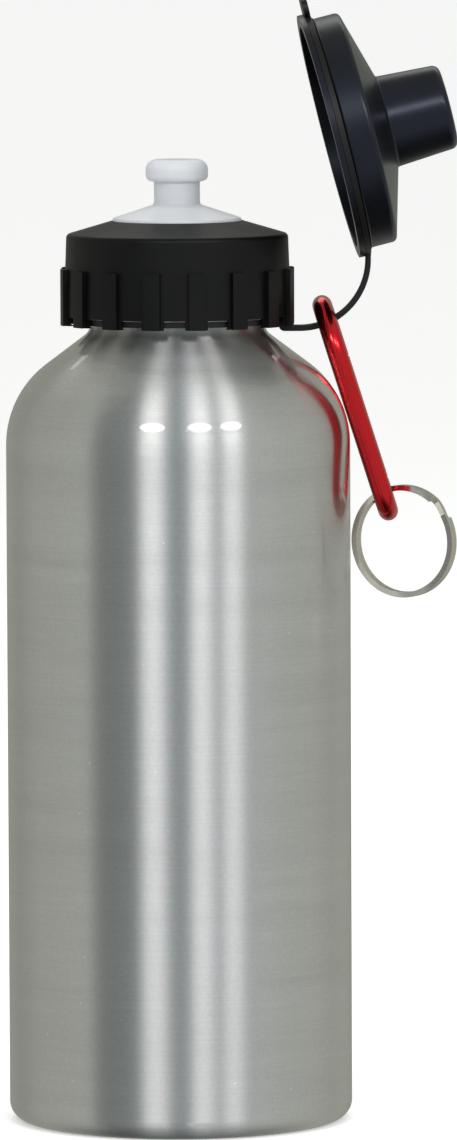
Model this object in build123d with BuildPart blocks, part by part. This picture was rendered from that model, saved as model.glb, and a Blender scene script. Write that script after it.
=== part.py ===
from build123d import *

import os
from math import asin, cos, degrees, radians, sin, tan

# An aluminium sports bottle with a push-pull screw cap, a tethered dust cover, a carabiner and a key ring.
# Millimetres. The origin is the middle of the base, +Z is up, and +X points at the open dust cover.

# Bottle
body_radius = 36.5
body_wall = 0.9
body_height = 144.0
shoulder_radius = 21.3
shoulder_slope = 36.87
base_corner_radius = 4.0
base_thickness = 1.4
foot_width = 3.5
foot_edge_radius = 1.5
base_dome_radius = 20.0
base_dome_height = 4.0
base_dome_fillet = 6.0
neck_radius = 18.5
neck_wall = 1.4
neck_fillet = 3.0
neck_groove_height = 2.3
neck_flare_height = 1.3
neck_height = 15.85
lip_radius = 0.6

# Screw thread between bottle and cap
thread_depth = 1.2
thread_pitch = 4.0
thread_crest_width = 0.8
thread_flank_run = 0.6
thread_sink = 0.3
neck_thread_turns = 2.25
cap_thread_turns = 1.75
thread_clearance = 0.4
thread_play = 0.45

# Screw cap
cap_rise = 1.35
cap_wall = 2.05
cap_draft = 0.035
cap_top_rise = 2.8
cap_top_wall = 1.5
cap_cone_slope = 16.5
cap_edge_radius = 1.0
rib_count = 16
rib_angle = 8.3
rib_first_angle = 10.0
rib_depth = 1.15
rib_height = 11.9
notch_angle = 11.0
notch_height = 1.9
gasket_thickness = 1.8
gasket_width = 3.6
fit_clearance = 0.2

# Push-pull spout on its stem
stem_radius = 6.6
stem_wall = 1.3
stem_bead = 0.3
stem_bead_height = 0.6
stem_rise = 1.0
well_clearance = 0.3
well_floor_clearance = 0.5
spout_post_radius = 1.9
spout_post_recess = 0.3
spoke_width = 1.3
spoke_height = 1.6
spoke_count = 3
spoke_overlap = 0.5
sleeve_wall = 1.1
sleeve_length = 4.4
sleeve_lip_height = 0.8
slide_clearance = 0.1
spout_travel = 3.0
flange_radius = 13.7
flange_edge = 0.6
flange_wall = 1.1
spout_slope = 17.9
spout_neck_radius = 4.85
spout_neck_wall = 1.15
spout_neck_height = 4.9
spout_bead_radius = 6.6
spout_bead_height = 4.6
spout_bead_foot_radius = 1.3
spout_bead_top_radius = 2.2
spout_bead_fillet = 0.35
spout_neck_fillet = 0.8
spout_outlet_radius = 2.1
spout_outlet_length = 1.8

# Dust cover, measured from its rim
cover_wall = 1.0
cover_gap = 0.2
cover_lip_height = 1.2
cover_lip_width = 1.45
cover_groove_height = 1.4
cover_bead_height = 0.5
cover_bead_depth = 0.3
cover_headroom = 1.4
cover_slope = 16.0
knob_base_radius = 9.85
knob_taper = 0.85
knob_height = 13.5
knob_edge_radius = 1.6
cover_edge_radius = 1.1
cover_seat_radius = 0.3
knob_foot_radius = 0.5
cover_open_tilt = 14.2
cover_open_turn = 2.6

# Tether: one moulding that holds the neck ring, the strap and the cover ring
neck_ring_width = 1.35
tether_ring_width = 1.15
tether_ring_height = 1.2
tether_ring_rise = 0.45
neck_ring_clearance = 0.35
cover_ring_clearance = 0.1
strap_width = 3.6
strap_thickness = 1.2
strap_bend_radius = 14.5
strap_split_angle = 54.0
strap_root_bend = 0.7
strap_drop = 0.3
strap_lead = 1.0
strap_end_rise = 0.8
strap_end_reach = 0.2
tab_width = 10.0
tab_reach = 3.4
tab_rounding = 0.47

# Carabiner
carabiner_length = 50.1
carabiner_rest_clearance = 0.22
bar_width = 4.4
bar_thickness = 4.2
top_end_radius = 12.5
low_end_radius = 8.5
hang_clearance = 0.8
hang_angle = 26.0
tongue_thickness = 1.6
tongue_width = 3.4
tongue_clearance = 0.15
tongue_root = 1.5
tongue_end_inset = 0.4
slot_margin = 1.0
pivot_inset = 3.2
gate_gap = 0.4
nose_length = 0.5
nose_tongue_length = 3.0
pin_radius = 1.0
pin_clearance = 0.05
spring_bore_radius = 1.2
spring_bore_depth = 14.0
spring_wire_radius = 0.18
spring_coil_radius = 0.85
spring_turns = 8
plunger_radius = 0.95
plunger_length = 4.0

# Key ring
key_ring_radius = 11.95
key_ring_width = 1.15
key_ring_coil = 1.1
key_ring_coil_gap = 0.04
key_ring_turn = 28.0
key_ring_cross_angle = 40.0
key_ring_cross_half = 10.5
key_ring_end_gap = 2.5
key_ring_clearance = 1.2
key_ring_overcut = 1.0
key_ring_offset_x = 3.3
key_ring_offset_y = -2.5

# How near an edge must lie to where it is looked for
pick_tolerance = 0.01

os.makedirs("parts", exist_ok=True)


def save(part, name):
    """Label one finished piece and write it under its own name."""
    part.label = name
    export_step(part, f"parts/{name}.step")


def ring_profile(inner, outer, low, high):
    """Add a rectangle from one radius to another and from one height to another."""
    with Locations(((inner + outer) / 2, (low + high) / 2)):
        Rectangle(outer - inner, high - low)


def circles_at(builder, radius, height):
    """Pick the circular edges of one radius at one height."""
    circles = builder.edges().filter_by(GeomType.CIRCLE)
    level = circles.filter_by_position(Axis.Z, height - pick_tolerance, height + pick_tolerance)
    return level.filter_by(lambda edge: abs(edge.radius - radius) < pick_tolerance)


def rib_sectors(inner, outer, angle, first_angle):
    """Draw one sector of a ring for each rib at the foot of the cap, evenly spaced from the first angle."""
    with BuildSketch(Plane.XY.offset(cap_base_z)) as sectors:
        for number in range(rib_count):
            start = first_angle - 90 - angle / 2 + number * 360 / rib_count
            with BuildLine():
                outer_arc = CenterArc((0, 0), outer, start, angle)
                inner_arc = CenterArc((0, 0), inner, start, angle)
                Line(outer_arc @ 0, inner_arc @ 0)
                Line(outer_arc @ 1, inner_arc @ 1)
            make_face()
    return sectors.sketch


def add_thread(root_radius, crest_radius, start_height, turns):
    """Add a helical ridge that rises from the root radius to the crest radius."""
    towards = 1 if crest_radius > root_radius else -1
    base = thread_crest_width / 2 + thread_flank_run
    with BuildLine(Plane.XY.offset(start_height)):
        helix = Helix(pitch=thread_pitch, height=thread_pitch * turns, radius=root_radius)
    ridge_plane = Plane(helix @ 0, x_dir=(1, 0, 0), z_dir=helix % 0)
    with BuildSketch(ridge_plane) as section:
        with BuildLine():
            Polyline(
                (-towards * thread_sink, -base),
                (0, -base),
                (crest_radius - root_radius, -thread_crest_width / 2),
                (crest_radius - root_radius, thread_crest_width / 2),
                (0, base),
                (-towards * thread_sink, base),
                close=True,
            )
        make_face()
    sweep(section.sketch, path=helix, is_frenet=True)


# Heights and radii that follow from the sizes above
slope = tan(radians(shoulder_slope))
shoulder_turn = radians(90 - shoulder_slope)
shoulder_corner_z = body_height + shoulder_radius * tan(shoulder_turn / 2)
neck_foot_z = shoulder_corner_z + (body_radius - neck_radius) * slope
lip_z = neck_foot_z + neck_height
wall_slant = body_wall / cos(radians(shoulder_slope))
foot_outer_radius = body_radius - base_corner_radius
foot_inner_radius = foot_outer_radius - foot_width
bore_groove_radius = neck_radius - neck_wall
bore_radius = bore_groove_radius + thread_depth + thread_clearance
thread_root_radius = bore_radius + neck_wall
thread_crest_radius = thread_root_radius + thread_depth
thread_start_z = neck_foot_z + neck_groove_height + neck_flare_height + thread_pitch / 3

# Bottle, one drawn aluminium shell
with BuildPart() as bottle_shell:
    with BuildSketch(Plane.XZ):
        with BuildLine():
            outside = FilletPolyline(
                (0, base_dome_height),
                (base_dome_radius, base_dome_height),
                (foot_inner_radius, 0),
                (body_radius, 0),
                (body_radius, shoulder_corner_z),
                (neck_radius, neck_foot_z),
                (neck_radius, neck_foot_z + neck_groove_height),
                (thread_root_radius, neck_foot_z + neck_groove_height + neck_flare_height),
                (thread_root_radius, lip_z),
                radius=[
                    base_dome_fillet,
                    foot_edge_radius,
                    base_corner_radius,
                    shoulder_radius,
                    neck_fillet,
                    lip_radius,
                    lip_radius,
                ],
            )
            inside = FilletPolyline(
                (0, base_dome_height + base_thickness),
                (base_dome_radius, base_dome_height + base_thickness),
                (foot_inner_radius, base_thickness),
                (body_radius - body_wall, base_thickness),
                (body_radius - body_wall, shoulder_corner_z - wall_slant + body_wall * slope),
                (bore_groove_radius, neck_foot_z - wall_slant + neck_wall * slope),
                (bore_groove_radius, neck_foot_z + neck_groove_height),
                (bore_radius, neck_foot_z + neck_groove_height + neck_flare_height),
                (bore_radius, lip_z),
                radius=[
                    base_dome_fillet,
                    foot_edge_radius,
                    base_corner_radius - body_wall,
                    shoulder_radius - body_wall,
                    neck_fillet + body_wall,
                    lip_radius,
                    lip_radius,
                ],
            )
            Line(outside @ 0, inside @ 0)
            Line(outside @ 1, inside @ 1)
        make_face()
    revolve(axis=Axis.Z)
    lip_edges = bottle_shell.edges().filter_by(GeomType.CIRCLE).group_by(Axis.Z)[-1]
    fillet(lip_edges, lip_radius)
    add_thread(thread_root_radius, thread_crest_radius, thread_start_z, neck_thread_turns)
save(bottle_shell.part, "bottle_shell")

# Cap heights, all from the lip that it screws down on
cap_base_z = neck_foot_z + cap_rise
cap_ceiling_z = lip_z + gasket_thickness
cap_top_z = cap_ceiling_z + cap_top_rise
rib_top_z = cap_base_z + rib_height
cap_bore_radius = thread_crest_radius + thread_clearance
drum_radius = cap_bore_radius + cap_wall
drum_top_radius = drum_radius - (cap_top_z - rib_top_z) * cap_draft
panel_foot_radius = drum_radius + rib_height * cap_draft / 2
rib_radius = drum_radius + rib_depth
cone_slope = tan(radians(cap_cone_slope))
seat_radius = flange_radius + fit_clearance
cone_top_z = cap_top_z + (drum_top_radius - seat_radius) * cone_slope
spout_seat_z = cone_top_z - fit_clearance
flange_z = cone_top_z
tether_inner_radius = thread_crest_radius + neck_ring_clearance
tether_outer_radius = tether_inner_radius + neck_ring_width
tether_ring_z = cap_base_z + tether_ring_rise
recess_radius = tether_outer_radius + fit_clearance
recess_top_z = tether_ring_z + tether_ring_height + fit_clearance

# The stem stands on the cap, and the spout's sleeve slides in the well around it
stem_bore_radius = stem_radius - stem_wall
sleeve_lip_radius = stem_radius + slide_clearance
sleeve_bore_radius = stem_radius + stem_bead + slide_clearance
sleeve_radius = sleeve_bore_radius + sleeve_wall
well_radius = sleeve_radius + well_clearance
well_wall_radius = well_radius + cap_top_wall
sleeve_foot_z = flange_z - sleeve_length
well_floor_z = sleeve_foot_z - well_floor_clearance
stem_top_z = flange_z + stem_rise
spout_cone = tan(radians(spout_slope))
flange_top_z = flange_z + flange_edge
spout_neck_z = flange_top_z + (flange_radius - spout_neck_radius) * spout_cone
spout_bead_foot_z = spout_neck_z + spout_neck_height
spout_top_z = spout_bead_foot_z + spout_bead_height
post_top_z = spout_top_z - spout_post_recess

with BuildPart() as screw_cap:
    with BuildSketch(Plane.XZ):
        with BuildLine():
            Polyline(
                (cap_bore_radius, recess_top_z),
                (recess_radius, recess_top_z),
                (recess_radius, tether_ring_z - fit_clearance),
                (tether_outer_radius - fit_clearance, tether_ring_z - fit_clearance),
                (tether_outer_radius - fit_clearance, cap_base_z),
                (panel_foot_radius, cap_base_z),
                (drum_radius, rib_top_z),
                (drum_top_radius, cap_top_z),
                (seat_radius, cone_top_z),
                (seat_radius, spout_seat_z),
                (well_radius, spout_seat_z),
                (well_radius, well_floor_z),
                (stem_radius, well_floor_z),
                (stem_radius, stem_top_z - stem_bead_height),
                (stem_radius + stem_bead, stem_top_z - stem_bead_height / 2),
                (stem_radius, stem_top_z),
                (stem_bore_radius, stem_top_z),
                (stem_bore_radius, well_floor_z - cap_top_wall),
                (well_wall_radius, well_floor_z - cap_top_wall),
                (well_wall_radius, spout_seat_z - cap_top_wall),
                (seat_radius + cap_top_wall, spout_seat_z - cap_top_wall),
                (seat_radius + 2 * cap_top_wall, cap_ceiling_z),
                (cap_bore_radius, cap_ceiling_z),
                close=True,
            )
        make_face()
    revolve(axis=Axis.Z)
    fillet(circles_at(screw_cap, drum_top_radius, cap_top_z), cap_edge_radius)
    ribs = rib_sectors(drum_radius - cap_wall / 4, rib_radius, rib_angle, rib_first_angle)
    extrude(ribs, amount=rib_height)
    add_thread(
        cap_bore_radius,
        thread_root_radius + thread_clearance,
        thread_start_z + thread_play + thread_pitch / 2,
        cap_thread_turns,
    )
    notch_first_angle = rib_first_angle + 180 / rib_count
    notches = rib_sectors(cap_bore_radius, rib_radius, notch_angle, notch_first_angle)
    extrude(notches, amount=notch_height, mode=Mode.SUBTRACT)
    with BuildSketch(Plane.XY.offset(well_floor_z)):
        with PolarLocations((spout_post_radius + stem_bore_radius) / 2, spoke_count):
            Rectangle(stem_bore_radius - spout_post_radius + 2 * spoke_overlap, spoke_width)
    extrude(amount=spoke_height)
    with BuildSketch(Plane.XY.offset(well_floor_z)):
        Circle(spout_post_radius)
    extrude(amount=post_top_z - well_floor_z)
save(screw_cap.part, "screw_cap")

with BuildPart() as cap_gasket:
    with BuildSketch(Plane.XZ):
        gasket_radius = cap_bore_radius - fit_clearance
        ring_profile(gasket_radius - gasket_width, gasket_radius, lip_z, cap_ceiling_z)
    revolve(axis=Axis.Z)
save(cap_gasket.part, "cap_gasket")

# Spout, drawn pushed down
with BuildPart() as mouthpiece:
    with BuildSketch(Plane.XZ):
        with BuildLine():
            Polyline(
                (sleeve_lip_radius, sleeve_foot_z),
                (sleeve_radius, sleeve_foot_z),
                (sleeve_radius, flange_top_z - flange_wall + (flange_radius - sleeve_radius) * spout_cone),
                (flange_radius - flange_wall, flange_z),
                (flange_radius, flange_z),
                (flange_radius - fit_clearance, flange_top_z),
                (spout_neck_radius, spout_neck_z),
                (spout_neck_radius, spout_bead_foot_z),
                (spout_bead_radius, spout_bead_foot_z),
                (spout_bead_radius, spout_top_z),
                (spout_outlet_radius, spout_top_z),
                (spout_outlet_radius, spout_top_z - spout_outlet_length),
                (spout_neck_radius - spout_neck_wall, spout_top_z - 2 * spout_outlet_length),
                (spout_neck_radius - spout_neck_wall, spout_neck_z - flange_wall),
                (sleeve_bore_radius, stem_top_z + fit_clearance),
                (sleeve_bore_radius, sleeve_foot_z + sleeve_lip_height),
                (sleeve_lip_radius, sleeve_foot_z + sleeve_lip_height),
                close=True,
            )
        make_face()
    revolve(axis=Axis.Z)
    fillet(circles_at(mouthpiece, spout_bead_radius, spout_top_z), spout_bead_top_radius)
    fillet(circles_at(mouthpiece, spout_bead_radius, spout_bead_foot_z), spout_bead_foot_radius)
    fillet(circles_at(mouthpiece, spout_neck_radius, spout_bead_foot_z), spout_bead_fillet)
    fillet(circles_at(mouthpiece, spout_neck_radius, spout_neck_z), spout_neck_fillet)
save(mouthpiece.part, "mouthpiece")

# Dust cover, hanging open: its axis points away from the bottle and up, turned a little on the strap
cover_bore_radius = drum_radius + cover_gap
cover_radius = cover_bore_radius + cover_wall
cover_rim_radius = cover_radius + cover_lip_width
cover_drum_height = cap_top_z - rib_top_z - cover_gap + cover_headroom
cover_tan = tan(radians(cover_slope))
knob_base_height = cover_drum_height + (cover_radius - knob_base_radius) * cover_tan
cover_height = knob_base_height + knob_height
knob_radius = knob_base_radius - knob_taper
cover_slant = cover_wall / cos(radians(cover_slope))
strap_low_z = cap_base_z - strap_drop - strap_thickness / 2
strap_bend_x = rib_radius + strap_lead
strap_bend_z = strap_low_z + strap_bend_radius
strap_end = Vector(strap_bend_x + strap_bend_radius, 0, strap_bend_z + strap_end_rise)
cover_ring_inner = cover_radius + cover_ring_clearance
cover_ring_outer = cover_ring_inner + tether_ring_width
cover_ring_radius = cover_ring_outer + strap_end_reach
cover_ring_height = cover_lip_height + cover_groove_height / 2

turn = radians(cover_open_turn)
tilt = radians(cover_open_tilt)
cover_axis = Vector(cos(tilt) * cos(turn), cos(tilt) * sin(turn), sin(tilt))
cover_side = Vector(sin(tilt) * cos(turn), sin(tilt) * sin(turn), -cos(tilt))
rim_centre = strap_end - cover_side * cover_ring_radius - cover_axis * cover_ring_height
cover_plane = Plane(rim_centre, x_dir=cover_side, z_dir=cover_side.cross(cover_axis))

with BuildPart() as dust_cover:
    with BuildSketch(cover_plane):
        with BuildLine():
            bead_z = cover_lip_height + cover_groove_height
            Polyline(
                (cover_bore_radius, 0),
                (cover_rim_radius, 0),
                (cover_rim_radius, cover_lip_height),
                (cover_radius, cover_lip_height),
                (cover_radius, bead_z),
                (cover_radius + cover_bead_depth, bead_z + cover_bead_height / 2),
                (cover_radius, bead_z + cover_bead_height),
            )
            shell_outside = FilletPolyline(
                (cover_radius, bead_z + cover_bead_height),
                (cover_radius, cover_drum_height),
                (knob_base_radius, knob_base_height),
                (knob_radius, cover_height),
                (0, cover_height),
                radius=[cover_edge_radius, knob_foot_radius, knob_edge_radius],
            )
            shell_inside = FilletPolyline(
                (cover_bore_radius, 0),
                (cover_bore_radius, cover_drum_height - cover_slant + cover_wall * cover_tan),
                (knob_base_radius - cover_wall, knob_base_height - cover_slant + cover_wall * cover_tan),
                (knob_radius - cover_wall, cover_height - cover_wall),
                (0, cover_height - cover_wall),
                radius=[cover_seat_radius, knob_foot_radius, knob_edge_radius - cover_wall / 2],
            )
            Line(shell_outside @ 1, shell_inside @ 1)
        make_face()
    revolve(axis=Axis(rim_centre, cover_axis))
save(dust_cover.part, "dust_cover")

# Tether, in three pieces that meet face to face
with BuildPart() as tether_cover_ring:
    with BuildSketch(cover_plane):
        ring_low = cover_ring_height - tether_ring_height / 2
        ring_profile(cover_ring_inner, cover_ring_outer, ring_low, ring_low + tether_ring_height)
    revolve(axis=Axis(rim_centre, cover_axis))
    tab_plane = Plane(rim_centre + cover_axis * ring_low, x_dir=cover_side, z_dir=cover_axis)
    with BuildSketch(tab_plane):
        tab_inner = (cover_ring_inner + cover_ring_outer) / 2
        tab_length = tether_ring_width / 2 + tab_reach
        with Locations((-tab_inner - tab_length / 2, 0)):
            RectangleRounded(tab_length, tab_width, tab_length * tab_rounding)
        block_length = cover_ring_radius - cover_ring_inner - cover_ring_clearance
        with Locations((cover_ring_radius - block_length / 2, 0)):
            Rectangle(block_length, strap_width)
    extrude(amount=tether_ring_height)
save(tether_cover_ring.part, "tether_cover_ring")

strap_bend = (strap_bend_x, strap_bend_z)
strap_root_x = tether_outer_radius - 2 * fit_clearance - strap_thickness / 2
strap_root = (strap_root_x, tether_ring_z + tether_ring_height / 2)

with BuildPart() as tether_neck_ring:
    with BuildSketch(Plane.XZ):
        ring_profile(
            tether_inner_radius,
            tether_outer_radius,
            tether_ring_z,
            tether_ring_z + tether_ring_height,
        )
    revolve(axis=Axis.Z)
    with BuildSketch(Plane.XZ):
        with BuildLine():
            FilletPolyline(
                strap_root,
                (strap_root[0], strap_low_z),
                (strap_bend_x, strap_low_z),
                radius=strap_root_bend,
            )
            CenterArc(strap_bend, strap_bend_radius, -90, 90 - strap_split_angle)
        trace(line_width=strap_thickness)
    extrude(amount=strap_width / 2, both=True)
save(tether_neck_ring.part, "tether_neck_ring")

with BuildPart() as tether_strap:
    with BuildSketch(Plane.XZ):
        with BuildLine():
            CenterArc(strap_bend, strap_bend_radius, -strap_split_angle, strap_split_angle)
        trace(line_width=strap_thickness)
    extrude(amount=strap_width / 2, both=True)
save(tether_strap.part, "tether_strap")

# Carabiner, hanging on the strap with its spine at -Y and its gate at +Y
hang = radians(hang_angle)
hang_radius = strap_bend_radius - strap_thickness / 2 - hang_clearance - bar_width / 2
bar_centre = Vector(
    strap_bend_x + hang_radius * sin(hang), 0, strap_bend_z - hang_radius * cos(hang)
)
# It leans on the bottle's shoulder, whose arc has its centre level with the top of the straight body
arc_centre = Vector(body_radius - shoulder_radius, 0, body_height)
reach_up = bar_centre - arc_centre
stand_off = shoulder_radius + carabiner_rest_clearance + bar_thickness / 2
lean = asin(stand_off / reach_up.length) - asin(reach_up.X / reach_up.length)
carabiner_plane = Plane(bar_centre, x_dir=(0, 1, 0), z_dir=(cos(lean), 0, sin(lean)))
top_arc_radius = top_end_radius - bar_width / 2
low_arc_radius = low_end_radius - bar_width / 2
top_arc_y = -top_arc_radius
low_arc_y = low_arc_radius + bar_width - carabiner_length
side_sin = (top_arc_radius - low_arc_radius) / (top_arc_y - low_arc_y)
side_lean = degrees(asin(side_sin))
side_cos = (1 - side_sin**2) ** 0.5
side_length = (top_arc_y - low_arc_y) * side_cos
gate_foot = Vector(low_arc_radius * side_cos, low_arc_y - low_arc_radius * side_sin)
gate_way = Vector(side_sin, side_cos)
shoulder_reach = bar_width / 2 + gate_gap
pivot = gate_foot + gate_way * pivot_inset
gate_length = side_length - pivot_inset - gate_gap - nose_length
nose_reach = gate_length + gate_gap
gate_plane = Plane(
    carabiner_plane.from_local_coords(pivot),
    x_dir=carabiner_plane.x_dir * side_cos - carabiner_plane.y_dir * side_sin,
    z_dir=carabiner_plane.z_dir,
)
gate_up = gate_plane.y_dir
section_plane = Plane(gate_plane.origin, x_dir=gate_plane.x_dir, z_dir=gate_up)
tongue_start = shoulder_reach + tongue_root
tongue_end = bar_width / 2 - tongue_end_inset

with BuildPart() as carabiner_frame:
    with BuildLine(carabiner_plane) as bar_path:
        nose = pivot + gate_way * nose_reach
        top_right = gate_foot + gate_way * side_length
        Line((nose.X, nose.Y), (top_right.X, top_right.Y))
        CenterArc((0, top_arc_y), top_arc_radius, -side_lean, 180 + 2 * side_lean)
        Line((-top_right.X, top_right.Y), (-gate_foot.X, gate_foot.Y))
        CenterArc((0, low_arc_y), low_arc_radius, 180 + side_lean, 180 - 2 * side_lean)
        heel = pivot - gate_way * shoulder_reach
        Line((gate_foot.X, gate_foot.Y), (heel.X, heel.Y))
    with BuildSketch(section_plane.offset(nose_reach)):
        Ellipse(bar_width / 2, bar_thickness / 2)
    sweep(path=bar_path.line)
    with BuildSketch(gate_plane):
        with Locations((0, (tongue_end - tongue_start) / 2)):
            Rectangle(tongue_width, tongue_end + tongue_start)
        with Locations((0, nose_reach + (tongue_root - nose_tongue_length) / 2)):
            Rectangle(tongue_width, nose_tongue_length + tongue_root)
    extrude(amount=tongue_thickness / 2, both=True)
    with BuildSketch(gate_plane):
        Circle(pin_radius + pin_clearance)
    extrude(amount=bar_thickness, both=True, mode=Mode.SUBTRACT)
save(carabiner_frame.part, "carabiner_frame")

with BuildPart() as carabiner_gate:
    with BuildSketch(section_plane.offset(-bar_width / 2)):
        Ellipse(bar_width / 2, bar_thickness / 2)
    extrude(amount=gate_length + bar_width / 2)
    with BuildSketch(gate_plane):
        Circle(bar_width / 2)
        with Locations((0, gate_length / 2)):
            Rectangle(bar_width, gate_length)
    extrude(amount=bar_thickness, both=True, mode=Mode.INTERSECT)
    fork_depth = (tongue_width**2 / 4 + tongue_end**2) ** 0.5 + gate_gap
    with BuildSketch(gate_plane):
        with Locations((0, (fork_depth - bar_width / 2) / 2)):
            Rectangle(bar_width + 2 * slot_margin, fork_depth + bar_width / 2)
        with Locations((0, gate_length - (nose_tongue_length + gate_gap) / 2)):
            Rectangle(bar_width + 2 * slot_margin, nose_tongue_length + gate_gap)
    extrude(amount=tongue_thickness / 2 + tongue_clearance, both=True, mode=Mode.SUBTRACT)
    with BuildSketch(gate_plane):
        Circle(pin_radius + pin_clearance)
    extrude(amount=bar_thickness, both=True, mode=Mode.SUBTRACT)
    with BuildSketch(section_plane):
        Circle(spring_bore_radius)
    extrude(amount=fork_depth + spring_bore_depth, mode=Mode.SUBTRACT)
save(carabiner_gate.part, "carabiner_gate")

with BuildPart() as gate_pin:
    with BuildSketch(gate_plane):
        Circle(pin_radius)
    extrude(amount=bar_thickness / 2, both=True)
save(gate_pin.part, "gate_pin")

plunger_foot = tongue_end + pin_clearance
with BuildPart() as gate_plunger:
    with BuildSketch(section_plane.offset(plunger_foot)):
        Circle(plunger_radius)
    extrude(amount=plunger_length)
save(gate_plunger.part, "gate_plunger")

spring_low = plunger_foot + plunger_length + spring_wire_radius
spring_high = fork_depth + spring_bore_depth - spring_wire_radius
with BuildPart() as gate_spring:
    with BuildLine():
        spring_path = Helix(
            pitch=(spring_high - spring_low) / spring_turns,
            height=spring_high - spring_low,
            radius=spring_coil_radius,
            center=section_plane.origin + gate_up * spring_low,
            direction=gate_up,
        )
    with BuildSketch(Plane(spring_path @ 0, z_dir=spring_path % 0)):
        Circle(spring_wire_radius)
    sweep(path=spring_path, is_frenet=True)
save(gate_spring.part, "gate_spring")

# Split key ring: two flat coils, one stepping down to the other
low_bar = carabiner_plane.from_local_coords(Vector(0, bar_width - carabiner_length))
ring_facing = radians(key_ring_turn)
key_ring_bore = key_ring_radius - key_ring_width
hang_drop = (key_ring_bore - bar_width / 2 - key_ring_clearance) ** 2
hang_drop -= (key_ring_offset_x / cos(ring_facing)) ** 2
key_ring_centre = low_bar + Vector(key_ring_offset_x, key_ring_offset_y, -(hang_drop**0.5))
key_ring_plane = Plane(
    key_ring_centre,
    x_dir=(cos(ring_facing), -sin(ring_facing), 0),
    z_dir=(-sin(ring_facing), -cos(ring_facing), 0),
)
cross = radians(key_ring_cross_angle)
cross_plane = Plane(
    key_ring_centre,
    x_dir=key_ring_plane.x_dir * cos(cross) + key_ring_plane.y_dir * sin(cross),
    z_dir=key_ring_plane.z_dir,
)
step_run = key_ring_bore * tan(radians(key_ring_cross_half))
wedge_slope = tan(radians(key_ring_cross_half + key_ring_end_gap))

step_plane = Plane(
    cross_plane.origin + cross_plane.x_dir * (key_ring_bore - key_ring_overcut),
    x_dir=cross_plane.y_dir,
    z_dir=cross_plane.x_dir,
)
coil_near = key_ring_coil_gap / 2
coil_far = coil_near + key_ring_coil
step_end = step_run + key_ring_overcut

with BuildPart() as coil_step:
    with BuildSketch(step_plane):
        with BuildLine():
            Polyline(
                (-step_end, coil_near),
                (-step_run, coil_near),
                (step_run, -coil_far),
                (step_end, -coil_far),
                (step_end, -coil_near),
                (step_run, -coil_near),
                (-step_run, coil_far),
                (-step_end, coil_far),
                close=True,
            )
        make_face()
    extrude(amount=key_ring_width + 2 * key_ring_overcut)
    with BuildSketch(cross_plane):
        Circle(key_ring_radius)
        Circle(key_ring_bore, mode=Mode.SUBTRACT)
    extrude(amount=coil_far, both=True, mode=Mode.INTERSECT)

with BuildPart() as key_ring:
    for side in (1, -1):
        with BuildSketch(cross_plane.offset(side * coil_near)):
            Circle(key_ring_radius)
            Circle(key_ring_bore, mode=Mode.SUBTRACT)
            reach = key_ring_radius + key_ring_overcut
            with BuildLine():
                Polyline(
                    (0, 0),
                    (reach, -side * step_run),
                    (reach, side * reach * wedge_slope),
                    close=True,
                )
            make_face(mode=Mode.SUBTRACT)
        extrude(amount=side * key_ring_coil)
    add(coil_step.part)
save(key_ring.part, "key_ring")
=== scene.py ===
import math

import bmesh
import bpy
from mathutils import Matrix, Vector


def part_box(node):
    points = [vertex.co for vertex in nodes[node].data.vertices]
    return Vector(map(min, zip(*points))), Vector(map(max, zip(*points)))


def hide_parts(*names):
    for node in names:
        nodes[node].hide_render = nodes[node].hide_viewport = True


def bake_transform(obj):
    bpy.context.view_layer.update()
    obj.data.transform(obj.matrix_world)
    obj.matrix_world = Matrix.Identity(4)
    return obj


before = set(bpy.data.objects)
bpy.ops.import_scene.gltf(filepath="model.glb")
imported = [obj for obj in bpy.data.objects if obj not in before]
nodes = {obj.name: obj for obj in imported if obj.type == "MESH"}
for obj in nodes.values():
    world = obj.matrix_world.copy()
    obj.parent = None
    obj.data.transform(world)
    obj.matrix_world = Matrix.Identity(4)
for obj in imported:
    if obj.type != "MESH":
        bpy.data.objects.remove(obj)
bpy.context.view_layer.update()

print("stage: frame loaded")

mmPerMetre = 1000.0
noiseSpan = (0.3, 0.7)  # nearly all of a noise pattern's values lie between these
sharpAngle = 50.0  # degrees, past which an edge stays crisp


def linear(hexColour):
    def channel(value):
        return value / 12.92 if value <= 0.04045 else ((value + 0.055) / 1.055) ** 2.4
    return tuple(channel(int(hexColour[i:i + 2], 16) / 255) for i in (1, 3, 5)) + (1.0,)


def addNode(tree, kind, sockets=None, **settings):
    node = tree.nodes.new(kind)
    for name, value in settings.items():
        setattr(node, name, value)
    for name, value in (sockets or {}).items():
        if isinstance(value, bpy.types.NodeSocket):
            tree.links.new(value, node.inputs[name])
        else:
            node.inputs[name].default_value = value
    return node


# patterns: the real size along X, Y and Z in millimetres, then the noise's detail and roughness
def newMaterial(name, patterns):
    material = bpy.data.materials.new(name)
    material.use_nodes = True
    tree = material.node_tree
    tree.nodes.clear()
    place = addNode(tree, "ShaderNodeTexCoord")
    noise = {}
    for label, (sizes, detail, roughness) in patterns.items():
        mapping = addNode(tree, "ShaderNodeMapping", {
            "Vector": place.outputs["Object"],
            "Scale": [mmPerMetre / size for size in sizes],
        })
        field = addNode(tree, "ShaderNodeTexNoise", {
            "Vector": mapping.outputs["Vector"],
            "Scale": 1.0,
            "Detail": detail,
            "Roughness": roughness,
        })
        noise[label] = field.outputs["Fac"]
    return material, noise


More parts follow.
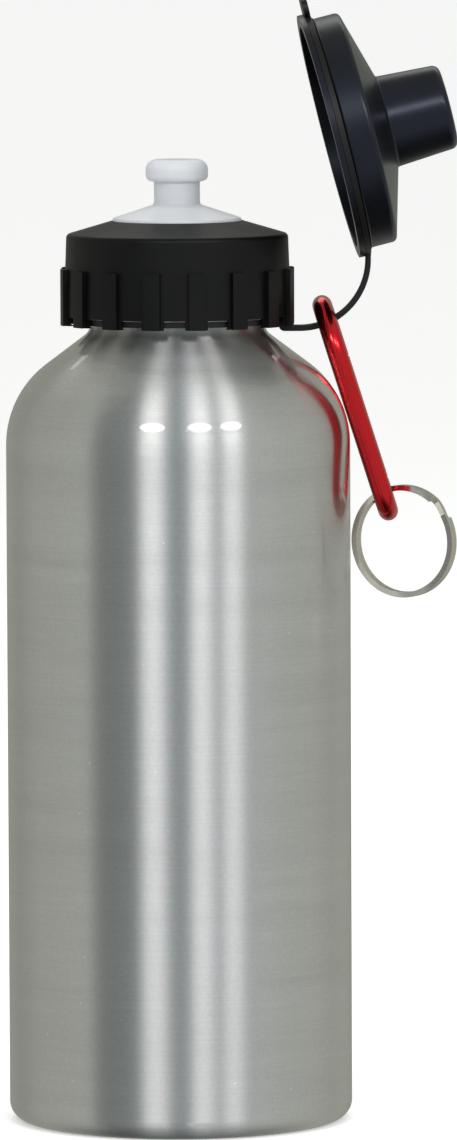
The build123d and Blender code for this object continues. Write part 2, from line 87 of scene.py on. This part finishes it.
# drawn aluminium, spun against an abrasive belt, then sprayed with clear lacquer:
# light smears along the bottle in upright streaks under a thin mirror-like gloss
brushedSettings = {
    "patterns": {
        # belt lines run round the bottle; real ones are nearer 0.1 mm apart, drawn coarser to show
        "hairlines": ((15.4, 15.4, 0.192), 4.0, 0.65),
        "bands": ((71.4, 71.4, 3.85), 2.0, 0.55),  # passes of the belt
        "satin": ((0.625, 0.625, 0.625), 2.0, 0.55),  # etch under the lacquer, drawn coarse to show
        "patches": ((16.7, 16.7, 22.2), 2.0, 0.55),  # where dust settled in the wet lacquer
    },
    "lineTones": ("#D3D3D0", "#DEDEDD"),
    "satinTone": "#C6C6C2",
    "satinSpan": (0.35, 0.65),
    "satinShare": 0.35,
    "nibSpacing": 4.76,  # dust nibs in the lacquer, in millimetres
    "nibEdge": (0.03, 0.06),  # where a nib ends, as a share of that spacing: 0.3 mm across
    "nibTone": "#F4F4F2",
    "dustySpan": (0.50, 0.56),
    "nibBump": (0.5, 0.00004),  # strength, then height in metres
    "lineBump": (0.10, 0.00002),
    "roughness": (0.36, 0.41),
    "smear": 1.0,
    "smearTurn": 0.25,  # a quarter turn, so that the smear stands upright
    "lacquerRoughness": 0.03,
    "lacquerIor": 1.5,
}


def brushedAluminium(finish):
    material, noise = newMaterial("brushedAluminiumLacquered", finish["patterns"])
    tree = material.node_tree
    place = addNode(tree, "ShaderNodeTexCoord")
    nibs = addNode(tree, "ShaderNodeTexVoronoi", {
        "Vector": place.outputs["Object"],
        "Scale": mmPerMetre / finish["nibSpacing"],
    })
    nib = addNode(tree, "ShaderNodeMapRange", {
        "Value": nibs.outputs["Distance"],
        "From Min": finish["nibEdge"][0],
        "From Max": finish["nibEdge"][1],
        "To Min": 1.0,
        "To Max": 0.0,
    })
    dusty = addNode(tree, "ShaderNodeMapRange", {
        "Value": noise["patches"],
        "From Min": finish["dustySpan"][0],
        "From Max": finish["dustySpan"][1],
    })
    nibMask = addNode(
        tree, "ShaderNodeMath", {0: nib.outputs["Result"], 1: dusty.outputs["Result"]}, operation="MULTIPLY",
    )
    lines = addNode(tree, "ShaderNodeMapRange", {
        "Value": noise["hairlines"],
        "From Min": noiseSpan[0],
        "From Max": noiseSpan[1],
    })
    brushed = addNode(tree, "ShaderNodeMix", {
        0: lines.outputs["Result"],
        6: linear(finish["lineTones"][0]),
        7: linear(finish["lineTones"][1]),
    }, data_type="RGBA")
    etch = addNode(tree, "ShaderNodeMapRange", {
        "Value": noise["satin"],
        "From Min": finish["satinSpan"][0],
        "From Max": finish["satinSpan"][1],
        "To Max": finish["satinShare"],
    })
    etched = addNode(tree, "ShaderNodeMix", {
        0: etch.outputs["Result"],
        6: brushed.outputs[2],
        7: linear(finish["satinTone"]),
    }, data_type="RGBA")
    spotted = addNode(tree, "ShaderNodeMix", {
        0: nibMask.outputs["Value"],
        6: etched.outputs[2],
        7: linear(finish["nibTone"]),
    }, data_type="RGBA")
    roughness = addNode(tree, "ShaderNodeMapRange", {
        "Value": noise["bands"],
        "From Min": noiseSpan[0],
        "From Max": noiseSpan[1],
        "To Min": finish["roughness"][0],
        "To Max": finish["roughness"][1],
    })
    lineBump = addNode(tree, "ShaderNodeBump", {
        "Height": noise["hairlines"],
        "Strength": finish["lineBump"][0],
        "Distance": finish["lineBump"][1],
    })
    nibBump = addNode(tree, "ShaderNodeBump", {
        "Height": nibMask.outputs["Value"],
        "Strength": finish["nibBump"][0],
        "Distance": finish["nibBump"][1],
    })
    around = addNode(tree, "ShaderNodeTangent", direction_type="RADIAL", axis="Z")
    shader = addNode(tree, "ShaderNodeBsdfPrincipled", {
        "Base Color": spotted.outputs[2],
        "Metallic": 1.0,
        "Roughness": roughness.outputs["Result"],
        "Normal": lineBump.outputs["Normal"],
        "Anisotropic": finish["smear"],
        "Anisotropic Rotation": finish["smearTurn"],
        "Tangent": around.outputs["Tangent"],
        "Coat Weight": 1.0,
        "Coat Roughness": finish["lacquerRoughness"],
        "Coat IOR": finish["lacquerIor"],
        "Coat Normal": nibBump.outputs["Normal"],
    })
    addNode(tree, "ShaderNodeOutputMaterial", {"Surface": shader.outputs["BSDF"]})
    return material


# injection moulded plastic with a fine eroded grain and faint flow marks; the grain of a real
# mould is about 0.05 mm and is drawn coarser to show
plasticSettings = {
    "flow": ((18.2, 18.2, 33.3), 2.0, 0.55),
    "grainDetail": (3.0, 0.55),
    "grainBump": (0.3, 0.00003),  # strength, then height in metres
    "roughnessSpread": (-0.05, 0.06),
    "ior": 1.49,
    "glowRadius": (1.0, 1.0, 1.0),
    "glowDepth": 0.003,
    # colours, roughness, grain in millimetres, gloss, glow and the gloss's tint
    "finishes": {
        # deep black with a dull satin side, as a gripped cap has
        "blackPolypropyleneCap": ("#060606", "#09090A", 0.44, 0.192, 0.2, 0.0, "#FFFFFF"),
        # a smoother mould, so a brighter gloss with a faint blue cast
        "blackPolypropyleneCover": ("#050507", "#090A0E", 0.27, 0.238, 0.5, 0.0, "#D6E0FA"),
        # soft and slightly waxy
        "blackPolyethyleneTether": ("#0A0A0A", "#0F0F0F", 0.40, 0.263, 0.35, 0.0, "#FFFFFF"),
        # lets light in, so its shadows are pale
        "milkyPolyethyleneSpout": ("#C4C7CB", "#D0D3D7", 0.36, 0.278, 0.5, 0.5, "#FFFFFF"),
        # soft, matt and faintly see-through
        "siliconeGasket": ("#C9C8C2", "#D6D5CF", 0.55, 0.385, 0.5, 0.2, "#FFFFFF"),
    },
}


def mouldedPlastic(name, dark, light, roughness, grain, gloss, glow, glossTint):
    material, noise = newMaterial(name, {
        "grain": ((grain, grain, grain), *plasticSettings["grainDetail"]),
        "flow": plasticSettings["flow"],
    })
    tree = material.node_tree
    colour = addNode(
        tree, "ShaderNodeMix", {0: noise["flow"], 6: linear(dark), 7: linear(light)}, data_type="RGBA",
    )
    polish = addNode(tree, "ShaderNodeMapRange", {
        "Value": noise["flow"],
        "From Min": noiseSpan[0],
        "From Max": noiseSpan[1],
        "To Min": roughness + plasticSettings["roughnessSpread"][0],
        "To Max": roughness + plasticSettings["roughnessSpread"][1],
    })
    bump = addNode(tree, "ShaderNodeBump", {
        "Height": noise["grain"],
        "Strength": plasticSettings["grainBump"][0],
        "Distance": plasticSettings["grainBump"][1],
    })
    shader = addNode(tree, "ShaderNodeBsdfPrincipled", {
        "Base Color": colour.outputs[2],
        "Roughness": polish.outputs["Result"],
        "Normal": bump.outputs["Normal"],
        "IOR": plasticSettings["ior"],
        "Specular IOR Level": gloss,
        "Specular Tint": linear(glossTint),
        "Subsurface Weight": glow,
        "Subsurface Radius": plasticSettings["glowRadius"],
        "Subsurface Scale": plasticSettings["glowDepth"],
    })
    addNode(tree, "ShaderNodeOutputMaterial", {"Surface": shader.outputs["BSDF"]})
    return material


# bare metal rod and wire: patterns, the two tones, roughness, bump and clear film
metalSettings = {
    # aluminium rod, bright dipped and dyed red in anodising: deep colour, sharp glints, faint die lines
    "redAnodisedAluminium": {
        "patterns": {
            "marks": ((0.417, 0.417, 2.0), 3.0, 0.55),  # die lines and handling marks
            "dye": ((8.33, 8.33, 11.1), 2.0, 0.55),  # the dye takes a little unevenly
        },
        "colourFrom": "dye",
        "tones": ("#CE1019", "#DD1A22"),
        "roughness": (0.17, 0.23),
        "bump": (0.08, 0.00001),  # strength, then height in metres
        "film": {"Coat Weight": 0.35, "Coat Roughness": 0.06, "Coat IOR": 1.6},
    },
    # rolled spring steel with bright nickel plating: a warm mirror with small tumbling scratches
    "nickelPlatedSteel": {
        "patterns": {"marks": ((1.43, 1.43, 0.385), 4.0, 0.55)},
        "colourFrom": "marks",
        "tones": ("#CFCBC1", "#E6E2D8"),
        "roughness": (0.08, 0.18),
        "bump": (0.12, 0.00002),
        "film": {},
    },
    # drawn spring wire, oiled and unplated: greyer and duller than the ring
    "springSteelWire": {
        "patterns": {"marks": ((1.43, 1.43, 0.385), 4.0, 0.55)},
        "colourFrom": "marks",
        "tones": ("#9C9A94", "#E6E2D8"),
        "roughness": (0.25, 0.35),
        "bump": (0.12, 0.00002),
        "film": {},
    },
}


def markedMetal(name, finish):
    material, noise = newMaterial(name, finish["patterns"])
    tree = material.node_tree
    colour = addNode(tree, "ShaderNodeMix", {
        0: noise[finish["colourFrom"]],
        6: linear(finish["tones"][0]),
        7: linear(finish["tones"][1]),
    }, data_type="RGBA")
    roughness = addNode(tree, "ShaderNodeMapRange", {
        "Value": noise["marks"],
        "From Min": noiseSpan[0],
        "From Max": noiseSpan[1],
        "To Min": finish["roughness"][0],
        "To Max": finish["roughness"][1],
    })
    bump = addNode(tree, "ShaderNodeBump", {
        "Height": noise["marks"],
        "Strength": finish["bump"][0],
        "Distance": finish["bump"][1],
    })
    shader = addNode(tree, "ShaderNodeBsdfPrincipled", {
        "Base Color": colour.outputs[2],
        "Metallic": 1.0,
        "Roughness": roughness.outputs["Result"],
        "Normal": bump.outputs["Normal"],
        **finish["film"],
    })
    addNode(tree, "ShaderNodeOutputMaterial", {"Surface": shader.outputs["BSDF"]})
    return material


finishes = {"brushedAluminiumLacquered": brushedAluminium(brushedSettings)}
for finishName, values in plasticSettings["finishes"].items():
    finishes[finishName] = mouldedPlastic(finishName, *values)
for finishName, values in metalSettings.items():
    finishes[finishName] = markedMetal(finishName, values)

nodeMaterials = {
    "bottle_shell": "brushedAluminiumLacquered",
    "screw_cap": "blackPolypropyleneCap",
    "cap_gasket": "siliconeGasket",
    "mouthpiece": "milkyPolyethyleneSpout",
    "dust_cover": "blackPolypropyleneCover",
    "tether_cover_ring": "blackPolyethyleneTether",
    "tether_neck_ring": "blackPolyethyleneTether",
    "tether_strap": "blackPolyethyleneTether",
    "carabiner_frame": "redAnodisedAluminium",
    "carabiner_gate": "redAnodisedAluminium",
    "gate_pin": "springSteelWire",
    "gate_spring": "springSteelWire",
    "gate_plunger": "springSteelWire",
    "key_ring": "nickelPlatedSteel",
}
for nodeName, finishName in nodeMaterials.items():
    nodes[nodeName].data.materials.clear()
    nodes[nodeName].data.materials.append(finishes[finishName])
print("stage: materials on the frame")


def newPiece(name, mesh, material):
    data = bpy.data.meshes.new(name)
    mesh.to_mesh(data)
    mesh.free()
    data.materials.append(material)
    piece = bpy.data.objects.new(name, data)
    bpy.context.scene.collection.objects.link(piece)
    for face in data.polygons:
        face.use_smooth = True
    data.set_sharp_from_angle(angle=math.radians(sharpAngle))
    return piece


# the curved half of the tether, in two lengths of arc that meet at the middle angle
strapSettings = {
    "width": 0.0036,
    "thickness": 0.0012,
    "bendRadius": 0.0145,
    "edge": 0.0003,
    "edgeSegments": 4,
    "lowAngle": -54.0,
    "middleAngle": -27.0,
    "highAngle": 0.0,
    "steps": 36,
    "ringOverlap": 0.0014,
}


def strapLength(name, centre, fromAngle, toAngle, overlap=0.0):
    mesh = bmesh.new()
    bmesh.ops.create_grid(mesh, x_segments=1, y_segments=1, size=0.5)
    bmesh.ops.scale(mesh, vec=(strapSettings["thickness"], strapSettings["width"], 1.0), verts=mesh.verts)
    bmesh.ops.bevel(mesh, geom=mesh.verts[:], offset=strapSettings["edge"], affect="VERTICES",
                    segments=strapSettings["edgeSegments"], profile=0.5, material=-1)
    bmesh.ops.delete(mesh, geom=mesh.faces[:], context="FACES_ONLY")
    bmesh.ops.translate(mesh, vec=(strapSettings["bendRadius"], 0.0, 0.0), verts=mesh.verts)
    bmesh.ops.rotate(mesh, cent=(0.0, 0.0, 0.0), verts=mesh.verts,
                     matrix=Matrix.Rotation(-math.radians(fromAngle), 3, "Y"))
    bmesh.ops.translate(mesh, vec=centre, verts=mesh.verts)
    bmesh.ops.spin(mesh, geom=mesh.verts[:] + mesh.edges[:], cent=centre, axis=(0.0, -1.0, 0.0),
                   angle=math.radians(toAngle - fromAngle), steps=strapSettings["steps"])
    if overlap:
        # the far end runs straight on into the ring that it is moulded to
        topRing = [vert for vert in mesh.verts if vert.co.z > centre.z - strapSettings["edge"]]
        topEdges = [edge for edge in mesh.edges if edge.is_boundary and edge.verts[0] in topRing]
        grown = bmesh.ops.extrude_edge_only(mesh, edges=topEdges)["geom"]
        bmesh.ops.translate(mesh, vec=(0.0, 0.0, overlap),
                            verts=[item for item in grown if isinstance(item, bmesh.types.BMVert)])
    bmesh.ops.holes_fill(mesh, edges=[edge for edge in mesh.edges if edge.is_boundary], sides=0)
    bmesh.ops.recalc_face_normals(mesh, faces=mesh.faces)
    return newPiece(name, mesh, finishes["blackPolyethyleneTether"])


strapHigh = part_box("tether_strap")[1]
bendCentre = Vector((
    strapHigh.x - strapSettings["thickness"] / 2 - strapSettings["bendRadius"],
    0,
    strapHigh.z,
))
low, middle, high = (strapSettings[key] for key in ("lowAngle", "middleAngle", "highAngle"))
strapLower = strapLength("strapLower", bendCentre, low, middle)
strapUpper = strapLength("strapUpper", bendCentre, middle, high, strapSettings["ringOverlap"])
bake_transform(strapLower)
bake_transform(strapUpper)
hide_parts("tether_strap")
print("stage: strap")


springSettings = {
    "joint": "plunger_slide",
    "weldDistance": 0.000001,
}


# the gate's coil spring, which the plunger squeezes, copied from its part with doubled points welded
def gateSpring():
    mesh = bmesh.new()
    mesh.from_mesh(nodes["gate_spring"].data)
    bmesh.ops.remove_doubles(mesh, verts=mesh.verts, dist=springSettings["weldDistance"])
    coil = newPiece("gateSpringCoil", mesh, finishes["springSteelWire"])
    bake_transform(coil)
    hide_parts("gate_spring")


gateSpring()
print("stage: spring")


# matt painted board, so the floor has no gloss and hardly any pattern
floorSettings = {
    "size": 60.0,
    "segments": 8,
    "patterns": {"grain": ((25.0, 25.0, 25.0), 2.0, 0.55)},  # roller texture, drawn coarse to show
    "tones": ("#F3F3F2", "#F7F7F6"),
    "roughness": 0.9,
    "glowColour": "#FFFFFF",
    "glow": 0.36,
}


def floorPiece(settings):
    mesh = bmesh.new()
    bmesh.ops.create_grid(
        mesh, x_segments=settings["segments"], y_segments=settings["segments"], size=settings["size"] / 2,
    )
    material, noise = newMaterial("paleStudioFloor", settings["patterns"])
    tree = material.node_tree
    colour = addNode(tree, "ShaderNodeMix", {
        0: noise["grain"],
        6: linear(settings["tones"][0]),
        7: linear(settings["tones"][1]),
    }, data_type="RGBA")
    shader = addNode(tree, "ShaderNodeBsdfPrincipled", {
        "Base Color": colour.outputs[2],
        "Roughness": settings["roughness"],
        "Emission Color": linear(settings["glowColour"]),
        "Emission Strength": settings["glow"],
    })
    addNode(tree, "ShaderNodeOutputMaterial", {"Surface": shader.outputs["BSDF"]})
    return newPiece("studioFloor", mesh, material)


floor = floorPiece(floorSettings)
floor.visible_glossy = False  # the gloss sees only the studio's walls

lampSettings = {
    "target": (0.0, 0.0, 0.13),
    "distance": 1.3,
    # name, turn from the camera's side, height above level, width, height, watts
    "lamps": (
        ("lampLeft", -18.2, 28.5, 0.36, 0.23, 2.4),
        ("lampMiddle", 15.8, 28.5, 0.34, 0.23, 2.2),
        ("lampRight", 38.8, 28.0, 0.32, 0.21, 1.9),
        ("lampAbove", 0.0, 82.0, 1.0, 0.8, 5.0),
        ("lampRear", 180.0, 42.0, 1.2, 0.5, 1.6),
    ),
}


def softbox(name, azimuth, elevation, width, height, power):
    turn, lift = math.radians(azimuth), math.radians(elevation)
    direction = Vector((math.sin(turn) * math.cos(lift), -math.cos(turn) * math.cos(lift), math.sin(lift)))
    data = bpy.data.lights.new(name, "AREA")
    data.shape = "ELLIPSE"
    data.size = width
    data.size_y = height
    data.energy = power
    lamp = bpy.data.objects.new(name, data)
    lamp.location = Vector(lampSettings["target"]) + direction * lampSettings["distance"]
    lamp.rotation_euler = direction.to_track_quat("Z", "Y").to_euler()
    bpy.context.scene.collection.objects.link(lamp)
    return lamp


lamps = {lampLine[0]: softbox(*lampLine) for lampLine in lampSettings["lamps"]}
lamps["lampAbove"].visible_glossy = False  # fills the shade, and leaves the shoulder's gloss to the others

# an even white for soft light, and upright bands of wall that only gloss shows
wallSettings = {
    "daylight": 0.62,
    "daylightColour": "#FFFFFF",
    "gloss": 1.5,
    # below the table's edge the walls fall dark: heights of the fall, as Z of a direction, and what is left
    "fall": (-0.90, -0.60),
    "belowTable": 0.12,
    # turn from the camera's side in degrees, and the wall's colour there
    "walls": (
        (-180.0, "#797B74"),
        (-143.0, "#84867F"),
        (-104.0, "#9A9B95"),
        (-66.0, "#A2A4A0"),
        (-56.0, "#6E7271"),
        (-31.0, "#7C8282"),
        (-24.0, "#A8ACAD"),
        (-10.0, "#ACAFB1"),
        (-2.0, "#868D91"),
        (6.0, "#868D91"),
        (12.0, "#ADB0B3"),
        (23.0, "#ADB0B3"),
        (28.0, "#9DA1A4"),
        (33.0, "#A9ACAF"),
        (48.0, "#A8ABAC"),
        (58.0, "#ACAFAC"),
        (94.0, "#A2A49F"),
        (130.0, "#93958E"),
        (180.0, "#797B74"),
    ),
}


def studioWorld(settings):
    world = bpy.data.worlds.new("studioWorld")
    bpy.context.scene.world = world
    world.use_nodes = True
    tree = world.node_tree
    tree.nodes.clear()
    place = addNode(tree, "ShaderNodeTexCoord")
    way = addNode(tree, "ShaderNodeSeparateXYZ", {"Vector": place.outputs["Generated"]})
    back = addNode(tree, "ShaderNodeMath", {0: way.outputs["Y"], 1: -1.0}, operation="MULTIPLY")
    turn = addNode(
        tree, "ShaderNodeMath", {0: way.outputs["X"], 1: back.outputs["Value"]}, operation="ARCTAN2",
    )
    across = addNode(tree, "ShaderNodeMapRange", {
        "Value": turn.outputs["Value"],
        "From Min": -math.pi,
        "From Max": math.pi,
    })
    ramp = addNode(tree, "ShaderNodeValToRGB", {"Fac": across.outputs["Result"]})
    ramp.color_ramp.interpolation = "EASE"
    stops = ramp.color_ramp.elements
    while len(stops) > 1:
        stops.remove(stops[-1])
    for index, (angle, colour) in enumerate(settings["walls"]):
        share = (angle + 180.0) / 360.0
        stop = stops[0] if index == 0 else stops.new(share)
        stop.position = share
        stop.color = linear(colour)
    drop = addNode(tree, "ShaderNodeMapRange", {
        "Value": way.outputs["Z"],
        "From Min": settings["fall"][0],
        "From Max": settings["fall"][1],
        "To Min": settings["belowTable"],
    })
    shade = addNode(
        tree, "ShaderNodeMath", {0: drop.outputs["Result"], 1: settings["gloss"]}, operation="MULTIPLY",
    )
    daylight = addNode(tree, "ShaderNodeBackground", {
        "Color": linear(settings["daylightColour"]),
        "Strength": settings["daylight"],
    })
    walls = addNode(tree, "ShaderNodeBackground", {
        "Color": ramp.outputs["Color"],
        "Strength": shade.outputs["Value"],
    })
    path = addNode(tree, "ShaderNodeLightPath")
    mix = addNode(tree, "ShaderNodeMixShader", {
        "Fac": path.outputs["Is Glossy Ray"],
        1: daylight.outputs["Background"],
        2: walls.outputs["Background"],
    })
    addNode(tree, "ShaderNodeOutputWorld", {"Surface": mix.outputs["Shader"]})


studioWorld(wallSettings)
bpy.context.scene.view_settings.view_transform = "Standard"

cameraSettings = {
    "place": (0.0113, -2.0, 0.29),
    "pitch": 4.94,
    "roll": 0.24,
    "lens": 298.5,
    "farClip": 200.0,
}

cameraData = bpy.data.cameras.new("studioCamera")
cameraData.lens = cameraSettings["lens"]
cameraData.clip_end = cameraSettings["farClip"]
camera = bpy.data.objects.new("studioCamera", cameraData)
camera.location = cameraSettings["place"]
camera.rotation_mode = "XYZ"
camera.rotation_euler = (
    math.radians(90.0 - cameraSettings["pitch"]),
    math.radians(cameraSettings["roll"]),
    0.0,
)
bpy.context.scene.collection.objects.link(camera)
bpy.context.scene.camera = camera
print("stage: studio")

bpy.context.view_layer.update()
